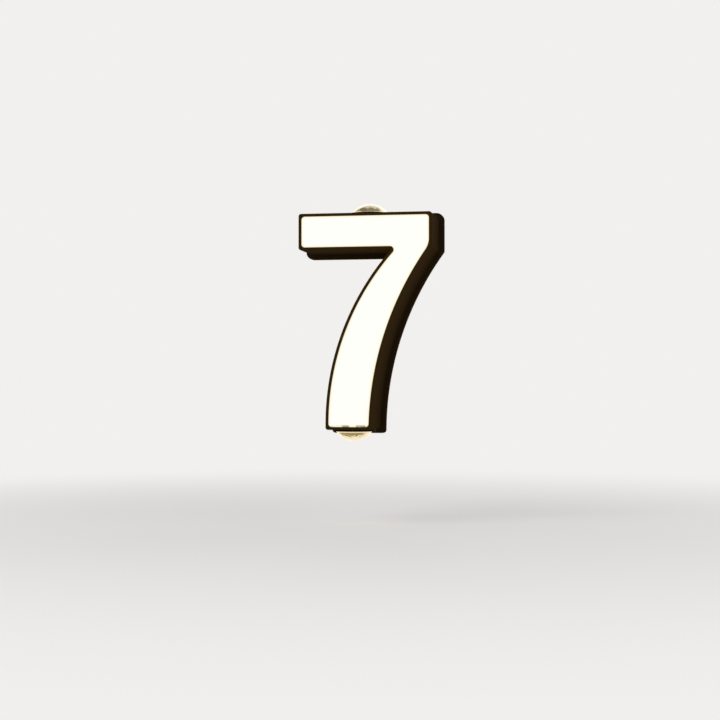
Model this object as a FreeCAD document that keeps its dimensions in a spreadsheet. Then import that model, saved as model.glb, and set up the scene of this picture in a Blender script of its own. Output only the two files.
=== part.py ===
import FreeCAD, Part
import math
import os
import Sketcher

# Illuminated house number, digit 7, for an outside wall.
#
# The frame: +Z up, +X to the right for someone who faces the sign, and the wall is the
# plane Y = 0, so the sign stands out of the wall towards -Y. A height above the wall is
# called a lift here and is measured along -Y. The origin lies on the wall, half way up
# the number and half way across it. Lengths are millimetres.

Vector = FreeCAD.Vector

SIZES = {
    # The number as seen from the front
    "body_width": 124.4,
    "body_height": 200.0,
    "bar_height": 33.8,
    "foot_width": 42.7,
    "foot_shift": 15.25,
    "right_curve_radius": 292.1,
    "right_curve_drop": 3.1,
    "left_curve_radius": 239.1,
    "left_curve_rise": 5.7,
    # The layers, from the wall outwards
    "body_depth": 60.0,
    "base_thickness": 7.0,
    "base_skin": 2.0,
    "base_flange": 4.4,
    "base_recess_inset": 2.0,
    "wall_foot_diameter": 10.0,
    "wall_foot_spacing": 62.0,
    "base_corner": 7.0,
    "base_small_corner": 3.0,
    "gasket_thickness": 1.0,
    "gasket_inset": 0.4,
    "wall_thickness": 2.4,
    "body_corner": 2.4,
    "rim_edge": 0.5,
    "plinth_edge": 1.0,
    "inner_corner": 1.0,
    "cavity_corner": 1.6,
    "cavity_inner_corner": 3.4,
    # The luminous face
    "face_recess": 1.2,
    "face_thickness": 3.0,
    "face_clearance": 0.2,
    "face_seal_thickness": 0.8,
    "ledge_width": 1.6,
    "ledge_thickness": 2.0,
    "tray_thickness": 1.2,
    "tray_gap": 1.4,
    "board_thickness": 1.2,
    "board_gap": 5.5,
    "face_led_width": 3.5,
    "face_led_height": 2.8,
    "face_led_thickness": 0.8,
    "face_led_pitch": 12.0,
    "face_led_row_gap": 8.0,
    "bar_led_edge": 9.8,
    "stem_led_top": 62.0,
    # Screws and the bosses that take them
    "screw_diameter": 2.9,
    "tapped_hole": 3.0,
    "screw_clearance_hole": 3.4,
    "screw_head_diameter": 5.5,
    "screw_head_height": 2.2,
    "screw_head_edge": 0.7,
    "screw_cross_width": 0.9,
    "screw_cross_length": 3.2,
    "screw_cross_depth": 1.2,
    "screw_length": 10.0,
    "boss_diameter": 8.4,
    "boss_inset": 4.0,
    "curve_boss_high": 66.0,
    "curve_boss_middle": 14.0,
    "curve_boss_low": 66.0,
    # The lamps at the two ends of the number
    "ring_side_margin": 9.5,
    "ring_overhang": 1.5,
    "ring_height": 2.0,
    "ring_edge": 0.8,
    "ring_opening_inset": 2.0,
    "ring_lip": 1.4,
    "ring_thread_length": 3.0,
    "ring_thread_wall": 0.9,
    "lens_bore_depth": 4.4,
    "lens_fit": 0.1,
    "lens_dome_radius": 20.5,
    "lens_rise": 8.9,
    "lens_flange_inset": 1.2,
    "lens_seal_thickness": 1.2,
    "lens_light_inset": 3.5,
    "turret_wall": 1.8,
    "turret_ledge": 2.0,
    "reflector_mouth": 24.0,
    "reflector_throat": 8.8,
    "reflector_wall": 0.8,
    "lamp_board_depth": 20.0,
    "lamp_board_diameter": 20.0,
    "lamp_board_thickness": 1.6,
    "lamp_board_clearance": 0.8,
    "lamp_board_screw_spread": 8.0,
    "emitter_diameter": 6.0,
    "emitter_base": 0.8,
    "emitter_dome_radius": 2.0,
    "heat_sink_width": 24.0,
    "heat_sink_height": 8.0,
    "heat_sink_back": 9.5,
    "heat_sink_slot": 2.2,
    "heat_sink_slot_pitch": 4.8,
    "heat_sink_slot_depth": 12.0,
    "heat_sink_screw_drop": 4.0,
    "heat_sink_screw_spread": 7.0,
    "small_screw_diameter": 1.9,
    "small_tapped_hole": 2.0,
    "small_screw_head": 3.6,
    "small_screw_head_height": 1.3,
    "small_screw_length": 4.6,
    "notch_margin": 1.0,
    "notch_depth": 10.5,
    # The driver in the stem
    "driver_lamp_gap": 14.74,
    "driver_tilt": 16.4,
    "driver_length": 66.0,
    "driver_width": 26.0,
    "driver_case_depth": 20.0,
    "driver_lid_thickness": 2.0,
    "driver_wall": 1.5,
    "driver_corner": 2.0,
    "driver_ear_length": 7.0,
    "driver_ear_width": 10.0,
    "driver_ear_thickness": 2.0,
    "driver_standoff_height": 2.0,
    "driver_standoff_diameter": 3.6,
    "driver_board_clearance": 0.3,
    "driver_board_thickness": 1.6,
    "driver_wire_spread": 4.4,
    "driver_lamp_wire_shift": 4.5,
    "driver_wire_lift": 7.5,
    "driver_hole_clearance": 0.6,
    "transformer_length": 16.0,
    "transformer_width": 14.0,
    "transformer_height": 11.0,
    "transformer_waist": 1.4,
    "capacitor_diameter": 9.0,
    "capacitor_height": 12.0,
    "pad_height": 2.0,
    "pad_diameter": 7.0,
    "pad_hole_depth": 3.2,
    # The terminal block, the earth point and the cable entry
    "terminal_height": 44.0,
    "terminal_tilt": 32.8,
    "terminal_width": 22.0,
    "terminal_length": 14.0,
    "terminal_depth": 12.0,
    "terminal_pitch": 7.2,
    "terminal_wire_hole": 3.0,
    "terminal_wire_lift": 3.6,
    "terminal_screw_diameter": 3.2,
    "terminal_screw_length": 3.6,
    "terminal_screw_spread": 3.5,
    "terminal_fixing_depth": 6.0,
    "earth_run": 22.0,
    "earth_barrel_length": 7.0,
    "earth_tag_overlap": 0.4,
    "earth_tag_diameter": 7.0,
    "earth_tag_thickness": 0.8,
    "cable_across": 15.5,
    "cable_height": 25.0,
    "cable_hole": 12.0,
    "cable_bore": 7.0,
    "grommet_flange": 15.4,
    "grommet_flange_thickness": 1.6,
    "grommet_nose_diameter": 10.0,
    "grommet_nose_length": 2.6,
    # The bracket on the wall
    "bracket_height": 83.1,
    "bracket_width": 18.0,
    "bracket_end_gap": 1.7,
    "bracket_thickness": 1.5,
    "bracket_ear_height": 4.6,
    "bracket_ear_width": 12.0,
    "bracket_slot_spread": 35.0,
    "bracket_slot_length": 12.0,
    "bracket_slot_width": 5.0,
    "bracket_centre_hole": 12.0,
    "lock_screw_lift": 2.8,
    "lock_screw_end_gap": 0.6,
    # The leads
    "mains_wire_diameter": 2.2,
    "lamp_wire_diameter": 1.3,
    "lamp_wire_pitch": 2.2,
    "wire_hole": 5.0,
    "upper_lead_reach": 20.0,
    "upper_lead_bend": 7.5,
    "lamp_lead_drop": 8.0,
    "lamp_lead_dip": 0.4,
    "face_lead_run": 11.5,
    "face_lead_straight": 8.0,
    "face_lead_rise": 2.0,
    "face_lead_climb": 12.5,
    "lower_lead_reach": 11.0,
    "lower_lead_dip": 8.2,
    "lower_lead_turn": 2.2,
    "lower_lead_climb": 6.8,
    "lower_lead_shift": 1.0,
    "mains_lead_straight": 9.0,
    "mains_lead_entry": 11.0,
    "mains_lead_rise": 1.0,
    "lead_seat": 0.2,
    # Shares of a run's length: the earth lead's level ends, and the most a bend may take
    "earth_lead_straight": 0.3,
    "lead_bend_share": 0.45,
}


class Size:
    """A length together with the formula that gives it in the names of the sheet."""

    def __init__(self, amount, formula):
        self.amount = float(amount)
        self.formula = formula

    def __add__(self, other):
        other = as_size(other)
        return Size(self.amount + other.amount, "(%s + %s)" % (self.formula, other.formula))

    def __sub__(self, other):
        other = as_size(other)
        return Size(self.amount - other.amount, "(%s - %s)" % (self.formula, other.formula))

    def __mul__(self, other):
        other = as_size(other)
        return Size(self.amount * other.amount, "(%s * %s)" % (self.formula, other.formula))

    def __truediv__(self, other):
        other = as_size(other)
        return Size(self.amount / other.amount, "(%s / %s)" % (self.formula, other.formula))

    def __neg__(self):
        return Size(-self.amount, "(0 - %s)" % self.formula)

    def __radd__(self, other):
        return as_size(other) + self

    def __rsub__(self, other):
        return as_size(other) - self

    def __rmul__(self, other):
        return as_size(other) * self


def as_size(value):
    return value if isinstance(value, Size) else Size(value, "%.6f" % value)


def root(value):
    return Size(math.sqrt(value.amount), "sqrt(%s)" % value.formula)


def sine(value):
    return Size(math.sin(math.radians(value.amount)), "sin(%s * 1 deg)" % value.formula)


def cosine(value):
    return Size(math.cos(math.radians(value.amount)), "cos(%s * 1 deg)" % value.formula)


doc = FreeCAD.newDocument("house_number_sign")
sheet = doc.addObject("Spreadsheet::Sheet", "Sizes")
for row, (alias, amount) in enumerate(SIZES.items(), start=1):
    sheet.set("A%d" % row, alias)
    sheet.set("B%d" % row, str(amount))
    sheet.setAlias("B%d" % row, alias)
doc.recompute()


class SheetNames:
    """Every named size of the sheet, as size.body_width and so on."""

    def __getattr__(self, alias):
        return Size(SIZES[alias], "Sizes.%s" % alias)


size = SheetNames()
sub_parts = []


# ---------------------------------------------------------------- sketch and feature helpers

def bind(item, target, value):
    item.setExpression(target, as_size(value).formula)


def new_body(label):
    body = doc.addObject("PartDesign::Body", label)
    body.Label = label
    sub_parts.append(body)
    return body


def put(body, across, lift, height, turn=0.0):
    """Places a body on the sign and turns it about the line that points at the wall."""
    turn = as_size(turn)
    body.Placement = FreeCAD.Placement(Vector(0, 0, 0), FreeCAD.Rotation(Vector(0, 1, 0), turn.amount))
    bind(body, "Placement.Base.x", across)
    bind(body, "Placement.Base.y", -as_size(lift))
    bind(body, "Placement.Base.z", height)
    bind(body, "Placement.Rotation.Angle", turn)


def new_sketch(body, role="XZ_Plane", lift=0.0):
    """A sketch on one of the body's own planes, moved along that plane's normal."""
    plane = next(item for item in body.Origin.OriginFeatures if item.Role == role)
    sketch = body.newObject("Sketcher::SketchObject", "%s_sketch" % body.Label)
    sketch.AttachmentSupport = [(plane, "")]
    sketch.MapMode = "FlatFace"
    bind(sketch, "AttachmentOffset.Base.z", lift)
    return sketch


def dimension(sketch, kind, where, value):
    value = as_size(value)
    index = sketch.addConstraint(Sketcher.Constraint(kind, *where, value.amount))
    sketch.setExpression("Constraints[%d]" % index, value.formula)


def pin(sketch, edge, end, x, y):
    """Holds one point of a sketch at its distances from the sketch's own origin."""
    for kind, axis, value in (("DistanceX", -2, x), ("DistanceY", -1, y)):
        if not isinstance(value, Size) and value == 0:
            sketch.addConstraint(Sketcher.Constraint("PointOnObject", edge, end, axis))
        else:
            dimension(sketch, kind, (-1, 1, edge, end), value)


def circle(sketch, x, y, diameter):
    x_size, y_size, diameter = as_size(x), as_size(y), as_size(diameter)
    centre = Vector(x_size.amount, y_size.amount, 0)
    edge = sketch.addGeometry(Part.Circle(centre, Vector(0, 0, 1), diameter.amount / 2))
    pin(sketch, edge, 3, x, y)
    dimension(sketch, "Diameter", (edge,), diameter)


def outline(sketch, corners, arcs=None):
    """A closed outline through pinned corners.

    The edge from corner i to the next one is a line, or an arc where arcs[i] gives its
    centre and radius. The radius then is a dimension of the sketch, and the centre only
    says on which side the arc bulges.
    """
    arcs = arcs or {}
    count = len(corners)
    points = [Vector(as_size(x).amount, as_size(y).amount, 0) for x, y in corners]
    ends = []
    for i in range(count):
        start, stop = points[i], points[(i + 1) % count]
        if i not in arcs:
            edge = sketch.addGeometry(Part.LineSegment(start, stop))
            ends.append((edge, 1, 2))
            continue
        centre_x, centre_y, radius = arcs[i]
        centre = Vector(as_size(centre_x).amount, as_size(centre_y).amount, 0)
        turns_left = (start - centre).cross(stop - centre).z > 0
        first, last = (start, stop) if turns_left else (stop, start)
        ring = Part.Circle(centre, Vector(0, 0, 1), as_size(radius).amount)
        arc = Part.ArcOfCircle(ring, math.atan2(first.y - centre.y, first.x - centre.x),
                               math.atan2(last.y - centre.y, last.x - centre.x))
        edge = sketch.addGeometry(arc)
        ends.append((edge, 1, 2) if turns_left else (edge, 2, 1))
    for i in range(count):
        edge, begin, finish = ends[i]
        following, next_begin, next_finish = ends[(i + 1) % count]
        sketch.addConstraint(Sketcher.Constraint("Coincident", edge, finish, following, next_begin))
    for i in range(count):
        pin(sketch, ends[i][0], ends[i][1], *corners[i])
    for i, (centre_x, centre_y, radius) in arcs.items():
        dimension(sketch, "Radius", (ends[i][0],), radius)


def rectangle(sketch, left, bottom, right, top):
    outline(sketch, [(left, bottom), (right, bottom), (right, top), (left, top)])


def pad(body, sketch, length, reverse=False):
    feature = body.newObject("PartDesign::Pad", "%s_pad" % body.Label)
    feature.Profile = sketch
    feature.Reversed = reverse
    bind(feature, "Length", length)
    sketch.Visibility = False
    body.Tip = feature
    return feature


def pocket(body, sketch, length, reverse=False):
    feature = body.newObject("PartDesign::Pocket", "%s_pocket" % body.Label)
    feature.Profile = sketch
    feature.Reversed = reverse
    bind(feature, "Length", length)
    body.Tip = feature
    return feature


def revolve(body, corners, arcs=None, role="XZ_Plane"):
    """Turns a half section about the upright axis of its sketch."""
    sketch = new_sketch(body, role)
    outline(sketch, corners, arcs)
    feature = body.newObject("PartDesign::Revolution", "%s_turned" % body.Label)
    feature.Profile = sketch
    feature.ReferenceAxis = (sketch, ["V_Axis"])
    feature.Angle = 360
    body.Tip = feature


def round_upright_edges(body, corners, radii):
    """Rounds the edges that point at the wall, at the named corners of an outline."""
    for radius, picked in radii:
        doc.recompute()
        before = body.Tip
        names = []
        for number, edge in enumerate(before.Shape.Edges, start=1):
            first, last = edge.Vertexes[0].Point, edge.Vertexes[-1].Point
            if abs(first.x - last.x) > 1e-4 or abs(first.z - last.z) > 1e-4:
                continue
            for place in picked:
                x, z = as_size(corners[place][0]).amount, as_size(corners[place][1]).amount
                if abs(first.x - x) < 1e-3 and abs(first.z - z) < 1e-3:
                    names.append("Edge%d" % number)
        feature = body.newObject("PartDesign::Fillet", "%s_corners" % body.Label)
        feature.Base = (before, names)
        bind(feature, "Radius", radius)
        body.Tip = feature


def round_edges(body, radius, chosen):
    """Rounds the edges of the last feature that the function chosen accepts."""
    doc.recompute()
    before = body.Tip
    names = ["Edge%d" % number for number, edge in enumerate(before.Shape.Edges, start=1)
             if chosen(edge)]
    feature = body.newObject("PartDesign::Fillet", "%s_edges" % body.Label)
    feature.Base = (before, names)
    bind(feature, "Radius", radius)
    body.Tip = feature


def round_front_edges(body, lift, radius):
    """Rounds every edge that lies at a lift, all round the front of a layer."""
    level = -as_size(lift).amount
    round_edges(body, radius, lambda edge: edge.BoundBox.YLength < 1e-3
                and abs(edge.BoundBox.YMin - level) < 1e-3)


# ---------------------------------------------------------------- the outline of the number

half_width = size.body_width / 2
half_height = size.body_height / 2
right_centre_x = size.foot_width / 2 - size.foot_shift + size.right_curve_radius
right_centre_z = -half_height - size.right_curve_drop
left_centre_x = size.left_curve_radius - size.foot_width / 2 - size.foot_shift
left_centre_z = size.left_curve_rise - half_height
TOP_LEFT, TOP_RIGHT, SHOULDER, FOOT_RIGHT, FOOT_LEFT, ARMPIT, BAR_LEFT = range(7)


def on_right_curve(height, outwards):
    """Across of the stem's right curve at a height, moved outwards of the body by a gap."""
    radius = size.right_curve_radius - outwards
    rise = height - right_centre_z
    return right_centre_x - root(radius * radius - rise * rise)


def on_left_curve(height, outwards):
    radius = size.left_curve_radius + outwards
    rise = height - left_centre_z
    return left_centre_x - root(radius * radius - rise * rise)


def stem_middle(height):
    return (on_left_curve(height, as_size(0)) + on_right_curve(height, as_size(0))) / 2


def seven(outwards):
    """Corners and arcs of the number, moved outwards of the body's own outline."""
    outwards = as_size(outwards)
    side = half_width + outwards
    top = half_height + outwards
    bar_bottom = half_height - size.bar_height - outwards
    right_radius = size.right_curve_radius - outwards
    left_radius = size.left_curve_radius + outwards
    reach = right_centre_x - side
    shoulder = right_centre_z + root(right_radius * right_radius - reach * reach)
    corners = [(-side, top), (side, top), (side, shoulder),
               (on_right_curve(-top, outwards), -top), (on_left_curve(-top, outwards), -top),
               (on_left_curve(bar_bottom, outwards), bar_bottom), (-side, bar_bottom)]
    arcs = {SHOULDER: (right_centre_x, right_centre_z, right_radius),
            FOOT_LEFT: (left_centre_x, left_centre_z, left_radius)}
    return corners, arcs


ROUND_CORNERS = (TOP_LEFT, TOP_RIGHT, SHOULDER, FOOT_RIGHT, FOOT_LEFT, BAR_LEFT)
inside_wall = -size.wall_thickness
lamp_lift = size.body_depth / 2
ring_diameter = size.body_depth - size.ring_side_margin * 2
lens_bore = ring_diameter - size.ring_overhang * 2
ring_opening = lens_bore - size.ring_opening_inset * 2
lens_flange_diameter = lens_bore - size.lens_flange_inset * 2
lens_light_bore = lens_bore - size.lens_light_inset * 2
turret_diameter = lens_bore + size.turret_wall * 2
tray_lift = lamp_lift + size.lamp_board_diameter / 2 + size.lamp_board_clearance
ledge_lift = (size.body_depth - size.face_recess - size.face_thickness
              - size.face_seal_thickness)
tray_front = tray_lift + size.tray_thickness
board_front = tray_front + size.board_thickness
boss_reach = -(size.wall_thickness + size.boss_inset)
bosses = [
    (-half_width - boss_reach, half_height + boss_reach),
    (-half_width - boss_reach, half_height - size.bar_height - boss_reach),
    (half_width + boss_reach, half_height + boss_reach),
    (on_right_curve(size.curve_boss_high, boss_reach), size.curve_boss_high),
    (on_right_curve(size.curve_boss_middle, boss_reach), size.curve_boss_middle),
    (on_left_curve(-size.curve_boss_low, boss_reach), -size.curve_boss_low),
    (on_right_curve(-size.curve_boss_low, boss_reach), -size.curve_boss_low),
]
lamps = {"upper": (as_size(0), 1), "lower": (-size.foot_shift, -1)}
pad_lift = size.base_thickness + size.pad_height
bracket_reach = half_width - size.base_recess_inset - size.bracket_end_gap


def plate(label, outwards, lift, thickness, convex, concave):
    """A flat layer with the outline of the number."""
    body = new_body(label)
    sketch = new_sketch(body, lift=lift)
    corners, arcs = seven(outwards)
    outline(sketch, corners, arcs)
    pad(body, sketch, thickness)
    round_upright_edges(body, corners, [(convex, ROUND_CORNERS), (concave, (ARMPIT,))])
    return body


def band(label, outer, inner, lift, thickness, convex, concave):
    """A flat ring that follows the outline of the number, for a seal."""
    body = plate(label, outer, lift, thickness, convex, concave)
    window = new_sketch(body, lift=lift + thickness)
    outline(window, *seven(inner))
    pocket(body, window, thickness)


def drill(body, places, diameter, lift, depth):
    """Round holes cut from a lift towards the wall."""
    sketch = new_sketch(body, lift=lift)
    for x, z in places:
        circle(sketch, x, z, diameter)
    pocket(body, sketch, depth)


# ---------------------------------------------------------------- driver, terminal, earth places

heat_sink_end = (half_height - size.lamp_board_depth - size.lamp_board_thickness
                 - size.heat_sink_height)
driver_height = (size.driver_length / 2 * cosine(size.driver_tilt) + size.driver_lamp_gap
                 - heat_sink_end)
driver_place = (stem_middle(driver_height), driver_height)
driver_ear_middle = size.driver_length / 2 + size.driver_ear_length / 2
terminal_place = (stem_middle(size.terminal_height), size.terminal_height)


def from_driver(across, along):
    """A point of the sign from one in the driver's own tilted frame."""
    lean, upright = sine(size.driver_tilt), cosine(size.driver_tilt)
    return (driver_place[0] + across * upright + along * lean,
            driver_place[1] - across * lean + along * upright)


def from_terminal(across, along):
    lean, upright = sine(size.terminal_tilt), cosine(size.terminal_tilt)
    return (terminal_place[0] + across * upright + along * lean,
            terminal_place[1] - across * lean + along * upright)


driver_fixings = [from_driver(as_size(0), driver_ear_middle),
                  from_driver(as_size(0), -driver_ear_middle)]
terminal_fixings = [from_terminal(-size.terminal_pitch / 2, as_size(0)),
                    from_terminal(size.terminal_pitch / 2, as_size(0))]
earth_barrel_lift = size.earth_tag_thickness + size.mains_wire_diameter / 2 - size.lead_seat
earth_fixing = from_terminal(-size.terminal_pitch, size.terminal_length / 2 + size.earth_run)


# ---------------------------------------------------------------- base plate and what it carries

def make_base_plate():
    """The plinth that shows as a step all round the number against the wall."""
    body = new_body("base_plate")
    sketch = new_sketch(body)
    corners, arcs = seven(size.base_flange)
    outline(sketch, corners, arcs)
    pad(body, sketch, size.base_thickness)
    round_upright_edges(body, corners, [
        (size.base_corner, (TOP_LEFT, TOP_RIGHT, BAR_LEFT)),
        (size.base_small_corner, (SHOULDER, FOOT_RIGHT, FOOT_LEFT)),
        (size.inner_corner, (ARMPIT,))])
    round_front_edges(body, size.base_thickness, size.plinth_edge)
    recess = new_sketch(body)
    outline(recess, *seven(-size.base_recess_inset))
    pocket(body, recess, size.base_thickness - size.base_skin, reverse=True)
    feet = new_sketch(body)
    circle(feet, 0, 0, size.wall_foot_diameter)
    circle(feet, stem_middle(-size.wall_foot_spacing), -size.wall_foot_spacing,
           size.wall_foot_diameter)
    pad(body, feet, size.base_thickness - size.base_skin)
    pads = new_sketch(body, lift=size.base_thickness)
    for x, z in driver_fixings + terminal_fixings + [earth_fixing]:
        circle(pads, x, z, size.pad_diameter)
    pad(body, pads, size.pad_height)
    drill(body, driver_fixings + terminal_fixings + [earth_fixing], size.tapped_hole,
          pad_lift, size.pad_hole_depth)
    drill(body, bosses, size.screw_clearance_hole, size.base_thickness, size.base_skin)
    drill(body, [(size.cable_across, size.cable_height)], size.cable_hole,
          size.base_thickness, size.base_skin)
    rim_holes = new_sketch(body, "YZ_Plane")
    circle(rim_holes, -size.lock_screw_lift, size.bracket_height, size.tapped_hole)
    feature = pocket(body, rim_holes, size.body_width * 2)
    feature.Midplane = True


def make_cable_grommet():
    """A rubber bush that snaps into the base plate where the supply cable comes in."""
    body = new_body("cable_grommet")
    put(body, size.cable_across, size.base_thickness, size.cable_height)
    hole = size.cable_hole / 2
    bore = size.cable_bore / 2
    flange = size.grommet_flange / 2
    inner_face = size.grommet_flange_thickness
    outer_face = size.base_skin + size.grommet_flange_thickness
    nose = size.grommet_flange_thickness + size.grommet_nose_length
    revolve(body, [(bore, outer_face), (flange, outer_face), (flange, size.base_skin),
                   (hole, size.base_skin), (hole, 0), (flange, 0), (flange, -inner_face),
                   (size.grommet_nose_diameter / 2, -inner_face),
                   (size.grommet_nose_diameter / 2, -nose), (bore, -nose)], role="XY_Plane")


def screws(label, places, seat, length, towards_wall=True):
    """Pan-head screws with a cross, as one group of separate solids."""
    body = new_body(label)
    shanks = new_sketch(body, lift=seat)
    for x, z in places:
        circle(shanks, x, z, size.screw_diameter)
    pad(body, shanks, length, reverse=towards_wall)
    heads = new_sketch(body, lift=seat)
    for x, z in places:
        circle(heads, x, z, size.screw_head_diameter)
    pad(body, heads, size.screw_head_height, reverse=not towards_wall)
    top = seat + size.screw_head_height * (1 if towards_wall else -1)
    round_front_edges(body, top, size.screw_head_edge)
    long_half, thin_half = size.screw_cross_length / 2, size.screw_cross_width / 2
    for across, along in ((long_half, thin_half), (thin_half, long_half)):
        cross = new_sketch(body, lift=top)
        for x, z in places:
            rectangle(cross, x - across, z - along, x + across, z + along)
        pocket(body, cross, size.screw_cross_depth, reverse=not towards_wall)


def make_wall_bracket():
    """A steel strip with two slots for the wall screws and an ear at each end."""
    body = new_body("wall_bracket")
    strip = new_sketch(body)
    half = size.bracket_width / 2
    reach = bracket_reach
    low, high = size.bracket_height - half, size.bracket_height + half
    rectangle(strip, -reach, low, reach, high)
    pad(body, strip, size.bracket_thickness)
    ears = new_sketch(body)
    fold = reach - size.bracket_thickness
    ear_low = size.bracket_height - size.bracket_ear_width / 2
    ear_high = size.bracket_height + size.bracket_ear_width / 2
    rectangle(ears, -reach, ear_low, -fold, ear_high)
    rectangle(ears, fold, ear_low, reach, ear_high)
    pad(body, ears, size.bracket_ear_height)
    slots = new_sketch(body, lift=size.bracket_thickness)
    slot_ends = new_sketch(body, lift=size.bracket_thickness)
    half_run = (size.bracket_slot_length - size.bracket_slot_width) / 2
    half_slot = size.bracket_slot_width / 2
    for x in (-size.bracket_slot_spread, size.bracket_slot_spread):
        rectangle(slots, x - half_run, size.bracket_height - half_slot,
                  x + half_run, size.bracket_height + half_slot)
        for end in (x - half_run, x + half_run):
            circle(slot_ends, end, size.bracket_height, size.bracket_slot_width)
    circle(slot_ends, 0, size.bracket_height, size.bracket_centre_hole)
    pocket(body, slots, size.bracket_thickness)
    pocket(body, slot_ends, size.bracket_thickness)
    ear_holes = new_sketch(body, "YZ_Plane")
    circle(ear_holes, -size.lock_screw_lift, size.bracket_height, size.tapped_hole)
    feature = pocket(body, ear_holes, size.body_width * 2)
    feature.Midplane = True


def make_lock_screws():
    """Headless screws through the rim of the base plate into the ears of the bracket."""
    body = new_body("lock_screws")
    inner_end = bracket_reach - size.bracket_thickness
    outer_end = half_width + size.base_flange - size.lock_screw_end_gap
    for reverse in (False, True):
        side = -inner_end if reverse else inner_end
        sketch = new_sketch(body, "YZ_Plane", lift=side)
        circle(sketch, -size.lock_screw_lift, size.bracket_height, size.screw_diameter)
        pad(body, sketch, outer_end - inner_end, reverse)


# ---------------------------------------------------------------- housing and luminous face

def make_housing():
    """The dark shell: a wall of even thickness that follows the number, from the base
    plate to the rim round the luminous face, with a ledge behind the face, a turret for
    a lens at each end and round bosses for the screws."""
    body = new_body("housing")
    back = size.base_thickness + size.gasket_thickness
    shell = new_sketch(body, lift=back)
    corners, arcs = seven(0)
    outline(shell, corners, arcs)
    pad(body, shell, size.body_depth - back)
    round_upright_edges(body, corners, [(size.body_corner, ROUND_CORNERS),
                                        (size.inner_corner, (ARMPIT,))])
    round_front_edges(body, size.body_depth, size.rim_edge)
    hollows = [(inside_wall, size.body_depth, size.body_depth - ledge_lift),
               (inside_wall - size.ledge_width, ledge_lift, size.ledge_thickness),
               (inside_wall, ledge_lift - size.ledge_thickness,
                ledge_lift - size.ledge_thickness - back)]
    for outwards, lift, depth in hollows:
        sketch = new_sketch(body, lift=lift)
        corners, arcs = seven(outwards)
        outline(sketch, corners, arcs)
        pocket(body, sketch, depth)
    round_upright_edges(body, seven(inside_wall)[0], [
        (size.cavity_corner, ROUND_CORNERS), (size.cavity_inner_corner, (ARMPIT,))])
    for end, (across, side) in lamps.items():
        turret_floor = half_height - size.lens_bore_depth - size.turret_ledge
        turret = new_sketch(body, "XY_Plane", turret_floor * side)
        circle(turret, across, -lamp_lift, turret_diameter)
        pad(body, turret, size.lens_bore_depth + size.turret_ledge - size.wall_thickness,
            reverse=side < 0)
        for diameter, depth in ((lens_bore, size.lens_bore_depth),
                                (lens_light_bore, size.lens_bore_depth + size.turret_ledge)):
            bore = new_sketch(body, "XY_Plane", half_height * side)
            circle(bore, across, -lamp_lift, diameter)
            pocket(body, bore, depth, reverse=side < 0)
    pillars = new_sketch(body, lift=size.base_thickness)
    for x, z in bosses:
        circle(pillars, x, z, size.boss_diameter)
    pad(body, pillars, tray_lift - size.base_thickness)
    drill(body, bosses, size.tapped_hole, tray_lift, tray_lift - size.base_thickness)


def heat_sink_fixings():
    places = []
    for across, side in lamps.values():
        drop = size.lamp_board_depth + size.lamp_board_thickness + size.heat_sink_screw_drop
        for spread in (-size.heat_sink_screw_spread, size.heat_sink_screw_spread):
            places.append((across + spread, (half_height - drop) * side))
    return places


def make_led_tray():
    """A white sheet that carries the light board and takes its heat to the bosses."""
    body = plate("led_tray", inside_wall - size.tray_gap, tray_lift, size.tray_thickness,
                 size.cavity_corner, size.inner_corner)
    notches = new_sketch(body, lift=tray_front)
    half = turret_diameter / 2 + size.notch_margin
    for across, side in lamps.values():
        near, far = (half_height - size.notch_depth) * side, half_height * side
        rectangle(notches, across - half, near if side > 0 else far,
                  across + half, far if side > 0 else near)
    pocket(body, notches, size.tray_thickness)
    drill(body, bosses + heat_sink_fixings(), size.screw_clearance_hole, tray_front,
          size.tray_thickness)
    drill(body, wire_holes, size.wire_hole, tray_front, size.tray_thickness)


def make_led_board():
    """The white circuit board behind the face, bitten out round the tray screws."""
    body = plate("led_board", inside_wall - size.board_gap, tray_front, size.board_thickness,
                 size.cavity_corner, size.inner_corner)
    drill(body, bosses, size.boss_diameter, board_front, size.board_thickness)
    drill(body, heat_sink_fixings(), size.screw_clearance_hole, board_front,
          size.board_thickness)


def face_led_places():
    """Pairs of light chips along the bar and down the stem, one list for each pair."""
    places = []
    bar_middle = half_height - size.bar_height / 2
    reach = half_width - size.wall_thickness - size.bar_led_edge
    half_gap = size.face_led_row_gap / 2
    columns = 2 * int(reach.amount / SIZES["face_led_pitch"]) + 1
    for column in range(columns):
        x = size.face_led_pitch * (column - columns // 2)
        places.append([(x, bar_middle - half_gap), (x, bar_middle + half_gap)])
    end = size.body_height / 2 - size.wall_thickness - size.board_gap - size.face_led_height
    rows = int((SIZES["stem_led_top"] + end.amount) / SIZES["face_led_pitch"]) + 1
    for row in range(rows):
        z = size.stem_led_top - size.face_led_pitch * row
        middle = stem_middle(z)
        places.append([(middle - half_gap, z), (middle + half_gap, z)])
    return places


def make_face_leds():
    body = new_body("face_leds")
    half_across, half_along = size.face_led_width / 2, size.face_led_height / 2
    for pair in face_led_places():
        sketch = new_sketch(body, lift=board_front)
        for x, z in pair:
            rectangle(sketch, x - half_across, z - half_along, x + half_across, z + half_along)
        pad(body, sketch, size.face_led_thickness)


# ---------------------------------------------------------------- the two end lamps
# Each is drawn about its own axis: 0 is the outer face of the housing's end and +Z
# points out of the number. The lower one is the same set turned upside down.

def lamp_body(end, name):
    across, side = lamps[end]
    body = new_body("%s_%s" % (end, name))
    put(body, across, lamp_lift, half_height * side, 0.0 if side > 0 else 180.0)
    return body


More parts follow.
